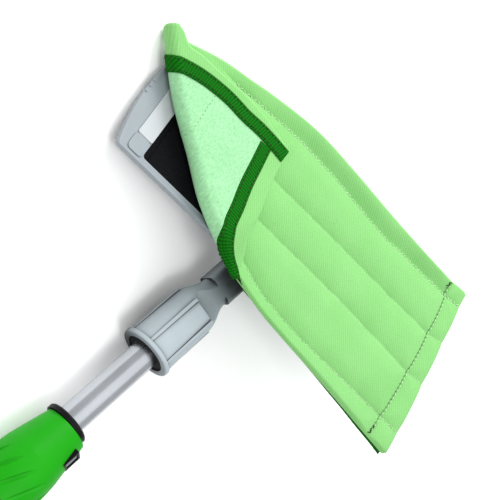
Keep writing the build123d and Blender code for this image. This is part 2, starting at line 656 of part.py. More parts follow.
# End cap with the hanging eye, plugged into the outer tube
with BuildPart() as end_cap:
    with BuildSketch(half_section(pole).offset(-CAP_THICKNESS / 2)):
        with Locations((0, EYE_AT)):
            Circle(CAP_RADIUS - CAP_FLAT)
        with Locations((0, (GRIP_END + EYE_AT) / 2)):
            Rectangle(2 * (CAP_RADIUS - CAP_FLAT), EYE_AT - GRIP_END)
    extrude(amount=CAP_THICKNESS)
    fillet(end_cap.edges().group_by(pole_up)[0] + end_cap.edges().group_by(pole_up)[-1], CAP_ROUND)
    with BuildSketch(pole.offset(GRIP_END)):
        Circle(CAP_RADIUS)
    extrude(amount=CAP_FLANGE)
    with BuildSketch(pole.offset(OUTER_TUBE_END - CAP_PLUG)):
        Circle(OUTER_RADIUS - TUBE_WALL)
    extrude(amount=GRIP_END - OUTER_TUBE_END + CAP_PLUG)
    with BuildSketch(half_section(pole).offset(-CAP_THICKNESS)):
        with Locations((0, EYE_AT)):
            Circle(EYE_RADIUS)
    extrude(amount=2 * CAP_THICKNESS, mode=Mode.SUBTRACT)
end_cap.part.label = "end_cap"
export_step(end_cap.part, "parts/end_cap.step")

# Cover: the quilted pad that still lies on the hook panel, beyond the diagonal fold
with BuildPart() as cover_pad:
    with BuildSketch(head.offset(COVER_GAP)):
        with BuildLine():
            ThreePointArc(FOLD_TOP, FOLD_MIDDLE, FOLD_BOTTOM)
            Polyline(FOLD_BOTTOM, NEAR_RIGHT, FAR_RIGHT)
            ThreePointArc(FAR_RIGHT, FAR_MIDDLE, FAR_LEFT)
            Line(FAR_LEFT, FOLD_TOP)
        make_face()
    extrude(amount=COVER_THICKNESS)
cover_pad.part.label = "cover_pad"
export_step(cover_pad.part, "parts/cover_pad.step")

# The peeled corner, folded over onto the pad
flap_seat = head.offset(COVER_GAP + COVER_THICKNESS + FLAP_GAP)
with BuildPart() as cover_flap:
    with BuildSketch(flap_seat):
        with BuildLine():
            ThreePointArc(FOLD_TOP, FOLD_MIDDLE, FOLD_BOTTOM)
            Polyline(FOLD_BOTTOM, FLAP_CORNER, FOLD_TOP)
        make_face()
    extrude(amount=FLAP_THICKNESS)
cover_flap.part.label = "cover_flap"
export_step(cover_flap.part, "parts/cover_flap.step")


def tape_strip(start, end, inset, tail):
    """A tape's outline in the open sketch, beside the line from start to end, on its right."""
    angle = atan2(end[1] - start[1], end[0] - start[0])
    step = (cos(angle), sin(angle))
    side = (sin(angle), -cos(angle))
    middle = inset + TAPE_WIDTH / 2
    length = ((end[0] - start[0]) ** 2 + (end[1] - start[1]) ** 2) ** 0.5
    reach = length / 2 + tail / 2
    across = start[0] + step[0] * reach + side[0] * middle
    upward = start[1] + step[1] * reach + side[1] * middle
    with Locations((across, upward)):
        Rectangle(length + tail, TAPE_WIDTH, rotation=degrees(angle))


# Binding tapes: two show on the peeled corner, and three are under the pad's edges
flap_top = flap_seat.offset(FLAP_THICKNESS)
with BuildPart() as tape_left:
    with BuildSketch(flap_top):
        tape_strip(LEFT_TAPE_START, FLAP_CORNER, LEFT_TAPE_INSET, TAPE_TAIL)
    extrude(amount=TAPE_THICKNESS)
tape_left.part.label = "tape_left"
export_step(tape_left.part, "parts/tape_left.step")

with BuildPart() as tape_near_folded:
    with BuildSketch(flap_top):
        tape_strip(FOLDED_TAPE_START, FOLDED_TAPE_END, TAPE_INSET, 0)
    extrude(amount=TAPE_THICKNESS)
tape_near_folded.part.label = "tape_near_folded"
export_step(tape_near_folded.part, "parts/tape_near_folded.step")

edge_tapes = (
    ("tape_near", NEAR_TAPE, NEAR_TAPE_LENGTH, 0),
    ("tape_far", FAR_TAPE, FAR_TAPE_LENGTH, 0),
    ("tape_right", RIGHT_TAPE, RIGHT_TAPE_LENGTH, 90),
)
for name, middle, length, turn in edge_tapes:
    with BuildPart() as edge_tape:
        with BuildSketch(head.offset(COVER_GAP - TAPE_THICKNESS)):
            with Locations(middle):
                Rectangle(length, TAPE_WIDTH, rotation=turn)
        extrude(amount=TAPE_THICKNESS)
    edge_tape.part.label = name
    export_step(edge_tape.part, f"parts/{name}.step")
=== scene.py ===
import bpy
import json
import math
import numpy as np
from mathutils import Matrix, Vector


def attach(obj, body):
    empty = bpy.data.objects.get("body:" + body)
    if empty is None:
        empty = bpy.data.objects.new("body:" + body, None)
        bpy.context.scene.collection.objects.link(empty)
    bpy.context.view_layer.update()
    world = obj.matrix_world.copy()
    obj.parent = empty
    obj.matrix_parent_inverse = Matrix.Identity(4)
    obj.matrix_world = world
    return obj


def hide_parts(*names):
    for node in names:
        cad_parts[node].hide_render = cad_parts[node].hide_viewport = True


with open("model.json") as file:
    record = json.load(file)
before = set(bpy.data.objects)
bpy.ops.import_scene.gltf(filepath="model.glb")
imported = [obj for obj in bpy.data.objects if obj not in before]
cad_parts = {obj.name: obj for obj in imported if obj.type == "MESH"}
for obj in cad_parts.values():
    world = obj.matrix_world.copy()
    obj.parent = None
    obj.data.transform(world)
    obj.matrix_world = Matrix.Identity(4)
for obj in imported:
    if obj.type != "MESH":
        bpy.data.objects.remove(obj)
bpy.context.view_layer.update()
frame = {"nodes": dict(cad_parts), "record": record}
MM = 0.001

# The plate's own frame: U along the plate, V across it, N out of the cleaning face.
joints = {joint["name"]: joint for joint in frame["record"]["behaviour"]["joints"]}
TILT_TO_FACE = 0.024
U = Vector(joints["head_tilt"]["axis"]).normalized()
N = Vector(joints["cover_lift"]["axis"]).normalized()
V = N.cross(U).normalized()
PLATE = Vector(joints["head_tilt"]["pos_m"]) + N * TILT_TO_FACE
TO_ROW = np.array([U, V, N])

# Camera, in the plate's frame in metres: where it stands, what it looks at, and its up direction
CAMERA_AT = (-0.2756, -0.3427, 0.5754)
CAMERA_AIM = (-0.0160, -0.0321, 0.0)
CAMERA_UP = (-0.649, 0.7523, 0.1133)
LENS = 79.2

# Cover, in the plate's frame, in millimetres
PAD_BOTTOM = 0.45
PAD_TOP = 5.1
MIDDLE_LEVEL = (PAD_BOTTOM + PAD_TOP) / 2
PUFF = 0.9
FAR_EDGE = [(-147, 32), (-134, 40), (-108, 50.5), (-84, 56.5), (-60, 62), (-23, 67.5), (20, 67), (70, 64.3),
            (118, 63.6), (149, 65.5)]
NEAR_EDGE = [(-16, -55), (-4, -57.2), (14, -60.8), (33, -63), (65, -66), (98, -69), (130, -72.3), (151, -74)]
FOLD = [(-151, 36.5), (-148, 32.5), (-140, 24), (-132, 16), (-124, 8), (-112, -2), (-101, -10),
        (-88, -19), (-69, -33.5), (-52, -43), (-38, -49), (-28, -53), (-16, -57)]
EDGE_A = [(-145, 41), (-139, 39.5), (-131, 35.5), (-121, 37.5), (-104, 39.5), (-86, 41.5), (-72, 42),
          (-52, 40), (-38, 37)]
EDGE_B = [(-15, -52), (-19, -43), (-24.5, -35), (-27.5, -27), (-28, -17), (-30.5, -2), (-33, 13),
          (-35, 28), (-38, 37)]
TAPE_A = [(-146, 13), (-140, 15.5), (-132, 18.5), (-120, 23), (-106, 27), (-90, 29.5), (-74, 29.3),
          (-60, 30.3), (-46, 30.2), (-36, 29.7)]
TAPE_B = [(-52, 28), (-50, 12), (-48, -6), (-45, -22), (-43, -34), (-39.5, -41), (-35, -46.5),
          (-28, -51.5), (-20, -55), (-9, -59)]
GROOVES = {
    "far": [(-96, 45), (-62, 49), (-30, 51.5), (10, 51), (57, 47.5), (80, 48.3), (124, 50.2), (151, 53.5)],
    "upper": [(-90, 15), (-31, 15), (50, 16), (102, 16.3), (133, 17.3), (151, 20.5)],
    "lower": [(-90, -15), (-26, -14.6), (54, -14.4), (80, -15), (133, -16.7), (151, -15.5)],
    "near": [(-30, -38), (-20, -42), (-14, -44.5), (-2, -48.5), (12, -51.6), (46, -54.9), (87, -55.2),
             (151, -56)],
}
HEM_X = 133.2
HEM_BOW = 3.2
RIGHT_EDGE = 150.6
RIGHT_BOW = 1.2
SHEET = 4.6
FOLD_CURL = 3.9
MERGE = (-15.0, -55.0)
TAPE = 10.0
PLATE_CLEAR = 0.3
TAPE_LEAST = 0.3

# The studio's light, as a multiple of what shows a white card as white
STUDIO = 1.35


def linear(rgb):
    """An sRGB colour, 0 to 255, as the linear RGBA that shows as that colour in the bright studio."""
    parts = [channel / 255 for channel in rgb]
    parts = [p / 12.92 if p <= 0.04045 else ((p + 0.055) / 1.055) ** 2.4 for p in parts]
    return [p / STUDIO for p in parts] + [1.0]


def smooth_line(points, count=400):
    """A Catmull-Rom curve through the points, as evenly numbered samples."""
    p = np.array(points, float)
    p = np.vstack([2 * p[0] - p[1], p, 2 * p[-1] - p[-2]])
    spans = len(p) - 3
    t = np.linspace(0, spans - 1e-9, count)
    i = t.astype(int)
    f = (t - i)[:, None]
    a, b, c, d = p[i], p[i + 1], p[i + 2], p[i + 3]
    return 0.5 * (2 * b + (c - a) * f + (2 * a - 5 * b + 4 * c - d) * f ** 2
                  + (3 * b - a - 3 * c + d) * f ** 3)


def smoothstep(low, high, x):
    t = np.clip((np.asarray(x, float) - low) / (high - low), 0, 1)
    return t * t * (3 - 2 * t)


def to_row(points):
    """Points of the plate's frame in millimetres, as row-frame metres."""
    return np.asarray(points, float) * MM @ TO_ROW + np.array(PLATE)


def mesh_object(name, points, faces, materials, body, uvs=None, slots=None):
    mesh = bpy.data.meshes.new(name)
    points = to_row(points)
    mesh.from_pydata([tuple(p) for p in points], [], [tuple(int(i) for i in f) for f in faces])
    for material in materials:
        mesh.materials.append(material)
    if slots is not None:
        mesh.polygons.foreach_set("material_index", np.asarray(slots, dtype=np.int32))
    if uvs is not None:
        layer = mesh.uv_layers.new(name="weave")
        loops = np.zeros(len(mesh.loops), dtype=np.int32)
        mesh.loops.foreach_get("vertex_index", loops)
        layer.data.foreach_set("uv", np.asarray(uvs, float)[loops].ravel())
    mesh.polygons.foreach_set("use_smooth", [True] * len(mesh.polygons))
    mesh.validate()
    mesh.update()
    obj = bpy.data.objects.new(name, mesh)
    bpy.context.collection.objects.link(obj)
    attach(obj, body)
    return obj


def grid_faces(rows, columns, start=0, flip=False):
    faces = []
    for i in range(rows - 1):
        for j in range(columns - 1):
            a = start + i * columns + j
            quad = (a, a + columns, a + columns + 1, a + 1)
            faces.append(quad[::-1] if flip else quad)
    return faces


def closed_shell(top, bottom):
    """Joins two grids of points at their rims. Gives points, faces and 0 or 1 for top or bottom."""
    rows, columns = top.shape[:2]
    count = rows * columns
    points = np.concatenate([top.reshape(-1, 3), bottom.reshape(-1, 3)])
    faces = grid_faces(rows, columns)
    slots = [0] * len(faces)
    under = grid_faces(rows, columns, count, flip=True)
    faces += under
    slots += [1] * len(under)
    rim = [(i, 0) for i in range(rows)] + [(rows - 1, j) for j in range(1, columns)]
    rim += [(i, columns - 1) for i in range(rows - 2, -1, -1)] + [(0, j) for j in range(columns - 2, 0, -1)]
    for k, (i, j) in enumerate(rim):
        m, n = rim[(k + 1) % len(rim)]
        a, b = i * columns + j, m * columns + n
        faces.append((a, a + count, b + count, b))
        slots.append(0)
    return points, faces, slots


# ---------------------------------------------------------------- materials

def new_material(name, rgb, roughness, metallic=0.0, specular=0.5):
    material = bpy.data.materials.new(name)
    material.use_nodes = True
    nodes = material.node_tree.nodes
    shader = nodes["Principled BSDF"]
    shader.inputs["Base Color"].default_value = linear(rgb)
    shader.inputs["Roughness"].default_value = roughness
    shader.inputs["Metallic"].default_value = metallic
    shader.inputs["Specular IOR Level"].default_value = specular
    return material, nodes, material.node_tree.links, shader


def noise(nodes, links, vector, scale, detail=3.0, rough=0.5):
    node = nodes.new("ShaderNodeTexNoise")
    node.inputs["Scale"].default_value = scale
    node.inputs["Detail"].default_value = detail
    node.inputs["Roughness"].default_value = rough
    links.new(vector, node.inputs["Vector"])
    return node.outputs["Fac"]


def maths(nodes, links, operation, a, b=None, c=None):
    node = nodes.new("ShaderNodeMath")
    node.operation = operation
    for socket, value in zip(node.inputs, (a, b, c)):
        if value is None:
            continue
        if isinstance(value, (int, float)):
            socket.default_value = value
        else:
            links.new(value, socket)
    return node.outputs[0]


def ripple(nodes, links, vector, direction, period):
    """A sine, from 0 to 1, along a direction of the vector."""
    dot = nodes.new("ShaderNodeVectorMath")
    dot.operation = "DOT_PRODUCT"
    links.new(vector, dot.inputs[0])
    dot.inputs[1].default_value = [2 * math.pi * d / period for d in direction]
    wave = maths(nodes, links, "SINE", dot.outputs["Value"])
    return maths(nodes, links, "MULTIPLY_ADD", wave, 0.5, 0.5)


def mix_colours(nodes, links, factor, first, second):
    node = nodes.new("ShaderNodeMix")
    node.data_type = "RGBA"
    if isinstance(factor, (int, float)):
        node.inputs["Factor"].default_value = factor
    else:
        links.new(factor, node.inputs["Factor"])
    for socket, colour in ((node.inputs["A"], first), (node.inputs["B"], second)):
        if hasattr(colour, "links") or hasattr(colour, "is_linked"):
            links.new(colour, socket)
        else:
            socket.default_value = colour
    return node.outputs["Result"]


def bump(nodes, links, shader, height, distance, strength=1.0, before=None):
    node = nodes.new("ShaderNodeBump")
    node.inputs["Distance"].default_value = distance
    node.inputs["Strength"].default_value = strength
    links.new(height, node.inputs["Height"])
    if before is not None:
        links.new(before.outputs["Normal"], node.inputs["Normal"])
    links.new(node.outputs["Normal"], shader.inputs["Normal"])
    return node


def object_coordinates(nodes):
    return nodes.new("ShaderNodeTexCoord").outputs["Object"]


def weave_coordinates(nodes):
    node = nodes.new("ShaderNodeUVMap")
    node.uv_map = "weave"
    return node.outputs["UV"]


def plastic(name, rgb, roughness=0.42, grain=0.00004, spread=0.06, specular=0.5, recess_shade=0.0):
    """Moulded plastic: a fine spark-eroded grain, slight patches of tone, and painted shade in the recesses.
    """
    material, nodes, links, shader = new_material(name, rgb, roughness, specular=specular)
    place = object_coordinates(nodes)
    patches = noise(nodes, links, place, 45, 4)
    fine = noise(nodes, links, place, 2600, 2)
    dark = linear([c * (1 - spread) for c in rgb])
    light = linear([min(255, c * (1 + spread)) for c in rgb])
    tone = mix_colours(nodes, links, patches, dark, light)
    if recess_shade:
        # Painted shade: where ambient occlusion finds the surface hemmed in, the colour darkens towards a
        # dark copy of itself.
        sheltered = nodes.new("ShaderNodeAmbientOcclusion")
        sheltered.inputs["Distance"].default_value = 0.03
        share = maths(nodes, links, "MULTIPLY_ADD", sheltered.outputs["AO"], -recess_shade, recess_shade)
        share.node.use_clamp = True
        tone = mix_colours(nodes, links, share, tone, linear([c * 0.3 for c in rgb]))
    links.new(tone, shader.inputs["Base Color"])
    rough = maths(nodes, links, "MULTIPLY_ADD", patches, 0.16, roughness - 0.08)
    links.new(rough, shader.inputs["Roughness"])
    bump(nodes, links, shader, fine, grain, 0.6)
    return material


def drawn_metal(name, rgb, roughness, along):
    """Drawn or turned metal: fine lines along the given direction, and smudges of polish."""
    material, nodes, links, shader = new_material(name, rgb, roughness, metallic=1.0)
    place = object_coordinates(nodes)
    stretch = nodes.new("ShaderNodeVectorMath")
    stretch.operation = "MULTIPLY"
    links.new(place, stretch.inputs[0])
    stretch.inputs[1].default_value = [1 - 0.985 * abs(a) for a in along]
    lines = noise(nodes, links, stretch.outputs["Vector"], 2400, 2)
    smudges = noise(nodes, links, place, 30, 3)
    tone = mix_colours(nodes, links, smudges, linear([c * 0.93 for c in rgb]), linear(rgb))
    links.new(tone, shader.inputs["Base Color"])
    both = maths(nodes, links, "ADD", lines, smudges)
    rough = maths(nodes, links, "MULTIPLY_ADD", both, 0.10, roughness - 0.10)
    links.new(rough, shader.inputs["Roughness"])
    bump(nodes, links, shader, lines, 0.00002, 0.35)
    return material


def twill(name, rgb, shade):
    """Twill microfibre: diagonal ribs crossed by yarns, a soft sheen and slow colour drift."""
    material, nodes, links, shader = new_material(name, rgb, 0.9, specular=0.18)
    shader.inputs["Sheen Weight"].default_value = 0.08
    shader.inputs["Sheen Roughness"].default_value = 0.5
    place = weave_coordinates(nodes)
    fuzz = noise(nodes, links, place, 900, 3, 0.7)
    strayed = nodes.new("ShaderNodeVectorMath")
    strayed.operation = "MULTIPLY_ADD"
    links.new(fuzz, strayed.inputs[0])
    strayed.inputs[1].default_value = (0.0009, 0.0009, 0)
    links.new(place, strayed.inputs[2])
    ribs = ripple(nodes, links, strayed.outputs["Vector"], (0.83, 0.56, 0), 0.00165)
    yarns = ripple(nodes, links, strayed.outputs["Vector"], (-0.56, 0.83, 0), 0.0013)
    drift = noise(nodes, links, place, 28, 3)
    height = maths(nodes, links, "MULTIPLY_ADD", yarns, 0.3, maths(nodes, links, "MULTIPLY", ribs, 0.6))
    height = maths(nodes, links, "MULTIPLY_ADD", fuzz, 1.3, height)
    base = mix_colours(nodes, links, drift, linear(shade), linear(rgb))
    # Painted shade: the weave's low parts are darkened towards a dark copy of the shade colour.
    gap = mix_colours(nodes, links, 0.28, base, linear([c * 0.45 for c in shade]))
    raised = maths(nodes, links, "MULTIPLY_ADD", height, 0.75, -0.2)
    links.new(mix_colours(nodes, links, raised, gap, base), shader.inputs["Base Color"])
    bump(nodes, links, shader, height, 0.00022, 0.55)
    return material


def loop_backing(name, rgb, light):
    """Mint loop backing: a short brushed nap with streaks, with painted shade where the nap parts, so it is
    whitish where the loops stand.
    """
    material, nodes, links, shader = new_material(name, rgb, 0.95, specular=0.12)
    shader.inputs["Sheen Weight"].default_value = 0.15
    shader.inputs["Sheen Roughness"].default_value = 0.6
    place = weave_coordinates(nodes)
    streak = nodes.new("ShaderNodeVectorMath")
    streak.operation = "MULTIPLY"
    links.new(place, streak.inputs[0])
    streak.inputs[1].default_value = (1.0, 0.35, 1.0)
    nap = noise(nodes, links, streak.outputs["Vector"], 950, 4, 0.75)
    clouds = noise(nodes, links, place, 75, 6, 0.65)
    loops = ripple(nodes, links, place, (0.94, -0.34, 0), 0.0013)
    base = mix_colours(nodes, links, clouds, linear(rgb), linear(light))
    dark = mix_colours(nodes, links, 0.6, base, linear([c * 0.66 for c in rgb]))
    # Painted shade: where the nap runs low, the colour darkens towards a dark copy of the mint.
    parted = maths(nodes, links, "MULTIPLY_ADD", nap, 2.4, -0.6)
    links.new(mix_colours(nodes, links, parted, dark, base), shader.inputs["Base Color"])
    height = maths(nodes, links, "MULTIPLY_ADD", loops, 0.25, nap)
    bump(nodes, links, shader, height, 0.0004, 0.6)
    return material


def webbing(name, rgb, dark):
    """Woven binding tape: close cross ribs, with painted shade in the gaps between them."""
    material, nodes, links, shader = new_material(name, rgb, 0.85, specular=0.08)
    place = weave_coordinates(nodes)
    ribs = ripple(nodes, links, place, (1, 0.25, 0), 0.0019)
    picks = ripple(nodes, links, place, (0.2, 1, 0), 0.0012)
    fuzz = noise(nodes, links, place, 1300, 3)
    height = maths(nodes, links, "MULTIPLY_ADD", picks, 0.5, ribs)
    height = maths(nodes, links, "MULTIPLY_ADD", fuzz, 0.6, height)
    # Painted shade: the colour darkens where the ribs' height runs low.
    tone = maths(nodes, links, "MULTIPLY_ADD", height, 0.6, -0.15)
    links.new(mix_colours(nodes, links, tone, linear(dark), linear(rgb)), shader.inputs["Base Color"])
    bump(nodes, links, shader, height, 0.0002, 0.6)
    return material


def hooks(name, rgb):
    """Hook panel: rows of tiny stiff hooks that catch a little light."""
    material, nodes, links, shader = new_material(name, rgb, 0.8, specular=0.1)
    place = object_coordinates(nodes)
    cells = nodes.new("ShaderNodeTexVoronoi")
    cells.inputs["Scale"].default_value = 900
    links.new(place, cells.inputs["Vector"])
    patches = noise(nodes, links, place, 70, 3)
    tips = maths(nodes, links, "LESS_THAN", cells.outputs["Distance"], 0.22)
    tone = maths(nodes, links, "MULTIPLY", tips, patches)
    light = linear([c * 3.2 + 16 for c in rgb])
    links.new(mix_colours(nodes, links, tone, linear(rgb), light), shader.inputs["Base Color"])
    bump(nodes, links, shader, cells.outputs["Distance"], 0.0004, 0.8)
    return material


def rubber(name, rgb, roughness=0.75):
    material, nodes, links, shader = new_material(name, rgb, roughness, specular=0.15)
    place = object_coordinates(nodes)
    patches = noise(nodes, links, place, 60, 4)
    pores = noise(nodes, links, place, 1800, 3)
    tone = mix_colours(nodes, links, patches, linear(rgb), linear([c * 1.25 + 4 for c in rgb]))
    links.new(tone, shader.inputs["Base Color"])
    links.new(maths(nodes, links, "MULTIPLY_ADD", patches, 0.2, roughness - 0.1), shader.inputs["Roughness"])
    bump(nodes, links, shader, pores, 0.00008, 0.6)
    return material


def thread(name, rgb):
    """Sewing thread: two plies twisted round each other."""
    material, nodes, links, shader = new_material(name, rgb, 0.7, specular=0.3)
    place = object_coordinates(nodes)
    ply = ripple(nodes, links, place, (0.6, 0.6, 0.5), 0.0006)
    fuzz = noise(nodes, links, place, 2500, 2)
    tone = maths(nodes, links, "MULTIPLY_ADD", fuzz, 0.5, ply)
    # Partly painted shade: the colour darkens between the twisted plies, and fuzz varies it at random.
    dark = linear([c * 0.72 for c in rgb])
    links.new(mix_colours(nodes, links, tone, dark, linear(rgb)), shader.inputs["Base Color"])
    bump(nodes, links, shader, ply, 0.0001, 0.5)
    return material


pole_axis = Vector(joints["telescope"]["axis"])
GREY = (150, 160, 166)
grey_plate = plastic("plate_grey", GREY, 0.45)
grey_bracket = plastic("bracket_grey", (150, 160, 165), 0.5)
# Painted shade: the swivel cross's dark grey stands for the cover's shade over it, and it also gets painted
# shade in its recesses.
grey_shaded = plastic("cross_grey_shaded", (60, 76, 76), 0.5, specular=0.25, recess_shade=0.8)
# Painted shade: the ferrule's grey darkens strongly in its recesses, for the shade under the cover.
grey_ferrule = plastic("ferrule_grey", (176, 188, 194), 0.5, specular=0.3, recess_shade=2.2)
pale_strip = plastic("strip_pale", (196, 202, 205), 0.5, spread=0.03)
black_plastic = plastic("black_plastic", (10, 11, 12), 0.42, spread=0.2, specular=0.12)
green_plastic = plastic("green_plastic", (22, 164, 6), 0.46, grain=0.00006, specular=0.14)
aluminium = drawn_metal("aluminium", (208, 213, 219), 0.26, pole_axis)
steel = drawn_metal("steel", (176, 178, 181), 0.35, U)
liner_rubber = rubber("liner_rubber", (10, 11, 13))
grip_rubber = rubber("grip_rubber", (34, 36, 38))
hook_black = hooks("hook_black", (6, 7, 10))
front_twill = twill("front_twill", (150, 219, 134), (134, 206, 118))
mint_backing = loop_backing("mint_backing", (156, 228, 164), (184, 244, 190))
green_tape = webbing("green_tape", (14, 126, 12), (4, 70, 4))
pale_thread = thread("pale_thread", (206, 246, 190))
green_thread = thread("green_thread", (112, 196, 96))
dark_thread = thread("dark_thread", (10, 66, 14))
brown_thread = thread("brown_thread", (46, 54, 10))
# Painted shadow: a dark green thread for the shade beside the hem's stitches.
green_shadow = thread("hem_hole_shadow", (58, 138, 48))

FINISHES = {
    "base_plate": grey_plate, "hook_panel": hook_black, "end_strip_left": pale_strip,
    "end_strip_right": pale_strip, "plate_bracket": grey_bracket, "bracket_screws": steel,
    "tilt_pin": steel, "tilt_washers": black_plastic, "swivel_cross": grey_shaded,
    "ferrule_neck": grey_ferrule, "swing_pin": steel, "ferrule_liner": liner_rubber,
    "ferrule_screw": steel, "inner_tube": aluminium, "outer_tube": aluminium,
    "tube_guide": black_plastic, "collet": black_plastic, "lock_collar": green_plastic,
    "indicator_frame": black_plastic, "indicator": grey_bracket, "hand_grip": grip_rubber,
    "end_cap": green_plastic,
}
for node_name, finish in FINISHES.items():
    mesh = frame["nodes"][node_name].data
    if not mesh.materials:
        mesh.materials.append(finish)
    for index in range(len(mesh.materials)):
        mesh.materials[index] = finish

# ---------------------------------------------------------------- cover geometry

far_line = smooth_line(FAR_EDGE)
near_line = smooth_line(NEAR_EDGE)
fold_out = smooth_line(FOLD)
groove_lines = {name: smooth_line(points, 300) for name, points in GROOVES.items()}


def offset_line(line, distance):
    """The line moved sideways, to its left, by a distance."""
    run = np.gradient(line, axis=0)
    run /= np.linalg.norm(run, axis=1)[:, None]
    return line + distance * np.stack([-run[:, 1], run[:, 0]], axis=1)


def openness(xy):
    """0 where the fold runs out into the pad's near edge, 1 away from there."""
    return smoothstep(2, 34, np.linalg.norm(xy - np.array(MERGE), axis=-1))


def curl_at(xy):
    return 1.0 + (FOLD_CURL - 1.0) * openness(xy)


def half_thickness(xy):
    return 0.9 + (SHEET / 2 - 0.9) * openness(xy)


# The fold's axis is inside its outermost line by the roll's outer radius
fold_axis = offset_line(fold_out, (curl_at(fold_out) + half_thickness(fold_out))[:, None])


def distance_to(line, xy):
    """Unsigned distance from points to a polyline, and the nearest sample's number."""
    flat = xy.reshape(-1, 2)
    best = np.full(len(flat), 1e9)
    index = np.zeros(len(flat), dtype=int)
    for k in range(0, len(flat), 4000):
        gap = np.linalg.norm(flat[k:k + 4000, None] - line[None], axis=2)
        index[k:k + 4000] = gap.argmin(axis=1)
        best[k:k + 4000] = gap.min(axis=1)
    return best.reshape(xy.shape[:-1]), index.reshape(xy.shape[:-1])


def groove_y(name, x):
    line = groove_lines[name]
    return np.interp(x, line[:, 0], line[:, 1])


def hem_x(y):
    return HEM_X - HEM_BOW * (y / 68) ** 2


def pad_height(xy):
    """Height of the pad's top, before its rim is rounded: puffed between the sewn lines."""
    x, y = xy[..., 0], xy[..., 1]
    offsets = [y - groove_y(name, x) for name in GROOVES] + [x - hem_x(y)]
    height = np.full(x.shape, PAD_TOP)
    nearest = np.full(x.shape, 1e3)
    fades = [smoothstep(-108, -80, x)] + [np.ones(x.shape)] * 4
    for offset, fade, depth in zip(offsets, fades, (2.3, 1.9, 1.9, 2.1, 1.3)):
        gap = np.abs(offset)
        after = np.where(offset > 0, 1.9, 0.8)
        nearest = np.minimum(nearest, gap + 8 * (1 - fade))
        calm = fade * (1 - 0.65 * smoothstep(HEM_X, 148, x))
        height = height - calm * depth * (0.66 * np.exp(-gap / after) + 0.34 * np.exp(-((gap / 6.5) ** 2)))
    height = height + PUFF * (1 - np.exp(-((nearest / 8.0) ** 2)))
    slow = 0.25 * np.sin(x / 17 + 0.6 * np.sin(y / 13)) * np.sin(y / 21 + 1.3)
    pucker = 0.20 * np.sin(x / 2.9 + 1.7 * np.sin(x / 23)) * np.exp(-nearest / 3.5)
    pucker = pucker + 0.12 * np.sin(x / 6.1 + y / 7.3) * np.exp(-nearest / 9.0)
    strip = (offsets[0] > 0) * smoothstep(-70, 0, x) * (1 - smoothstep(HEM_X - 4, HEM_X, x))
    slope = -3.2 * (1 - smoothstep(0, 15, offsets[0])) * (1 - np.exp(-np.clip(offsets[0], 0, None) / 0.8))
    return height + slow + pucker + strip * slope


def pad_droop(xy):
    """How far the pad hangs below the plate's level where it reaches past the plate."""
    x, y = xy[..., 0], xy[..., 1]
    past_near = np.clip(-50 - y, 0, None) * smoothstep(20, 149, x)
    past_right = np.clip(x - 136, 0, None)
    return 0.012 * past_near ** 1.6 + 0.010 * past_right ** 1.6


PAD_COLUMNS = 300
PAD_ROWS = 150
CORNER_RADIUS = 3.5
ROUND = 2.6
BORDER = 14.0
pad_starts = next(x for x in np.arange(-150, 0, 0.25) if np.interp(x, far_line[:, 0], far_line[:, 1])
                  > np.interp(x, fold_axis[:, 0], fold_axis[:, 1]) + 1.5)
columns = np.linspace(pad_starts, RIGHT_EDGE, PAD_COLUMNS)
low = np.where(
    columns < fold_axis[-1, 0],
    np.interp(columns, fold_axis[:, 0], fold_axis[:, 1]),
    np.interp(columns, near_line[:, 0], near_line[:, 1]),
)
high = np.interp(columns, far_line[:, 0], far_line[:, 1])
into_corner = np.clip(columns - (RIGHT_EDGE - CORNER_RADIUS), 0, CORNER_RADIUS)
rounding = CORNER_RADIUS - np.sqrt(CORNER_RADIUS ** 2 - into_corner ** 2 + 1e-9)
low, high = low + rounding, np.maximum(high - rounding, low + 0.5)
share = 0.5 - 0.5 * np.cos(np.linspace(0, math.pi, PAD_ROWS))
share = 0.35 * share + 0.65 * np.linspace(0, 1, PAD_ROWS)
pad_xy = np.stack(
    [np.repeat(columns[:, None], PAD_ROWS, 1), low[:, None] + (high - low)[:, None] * share], axis=2
)
bow = RIGHT_BOW * np.clip((pad_xy[..., 1] + 40) / 45, 0, None) ** 1.2 * smoothstep(110, 149, pad_xy[..., 0])
dents = sum(np.exp(-((pad_xy[..., 1] - groove_y(name, 149)) / 1.6) ** 2) for name in GROOVES)
pad_xy[..., 0] -= bow + 0.15 * dents * smoothstep(143, 149, pad_xy[..., 0])
pad_rim = np.concatenate([
    pad_xy[:, 0][columns > fold_axis[-1, 0]], pad_xy[-1, :], pad_xy[::-1, -1]
])
rim_gap, _ = distance_to(pad_rim, pad_xy)
edge = np.sqrt(np.clip(1 - (1 - np.clip(rim_gap / ROUND, 0, 1)) ** 2, 0, 1))
droop = pad_droop(pad_xy)
top_z = pad_height(pad_xy)
pad_top = np.dstack([pad_xy, MIDDLE_LEVEL + (top_z - MIDDLE_LEVEL) * edge - droop])
pad_under = np.dstack([pad_xy, MIDDLE_LEVEL + (PAD_BOTTOM - MIDDLE_LEVEL) * edge - droop])
points, faces, slots = closed_shell(pad_top, pad_under)
pad_uv = np.concatenate([pad_xy.reshape(-1, 2)] * 2) * MM
centres = np.array([points[list(f)].mean(axis=0)[:2] for f in faces])
border_gap, _ = distance_to(pad_rim, centres)
slots = [1 if side and gap > BORDER else 0 for side, gap in zip(slots, border_gap)]
cover_pad = mesh_object("cover_front", points, faces, [front_twill, mint_backing], "cover", pad_uv, slots)
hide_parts("cover_pad")

# The peeled corner. It is drawn flat, as it would lie if the fold were opened out past the fold's
# axis, and place() rolls what is beyond the axis round the fold. Near MERGE, where the fold runs
# out into the pad's near edge, the roll gets tighter and the sheet thinner.
axis_run = np.gradient(fold_axis, axis=0)
axis_run /= np.linalg.norm(axis_run, axis=1)[:, None]
axis_in = np.stack([-axis_run[:, 1], axis_run[:, 0]], axis=1)


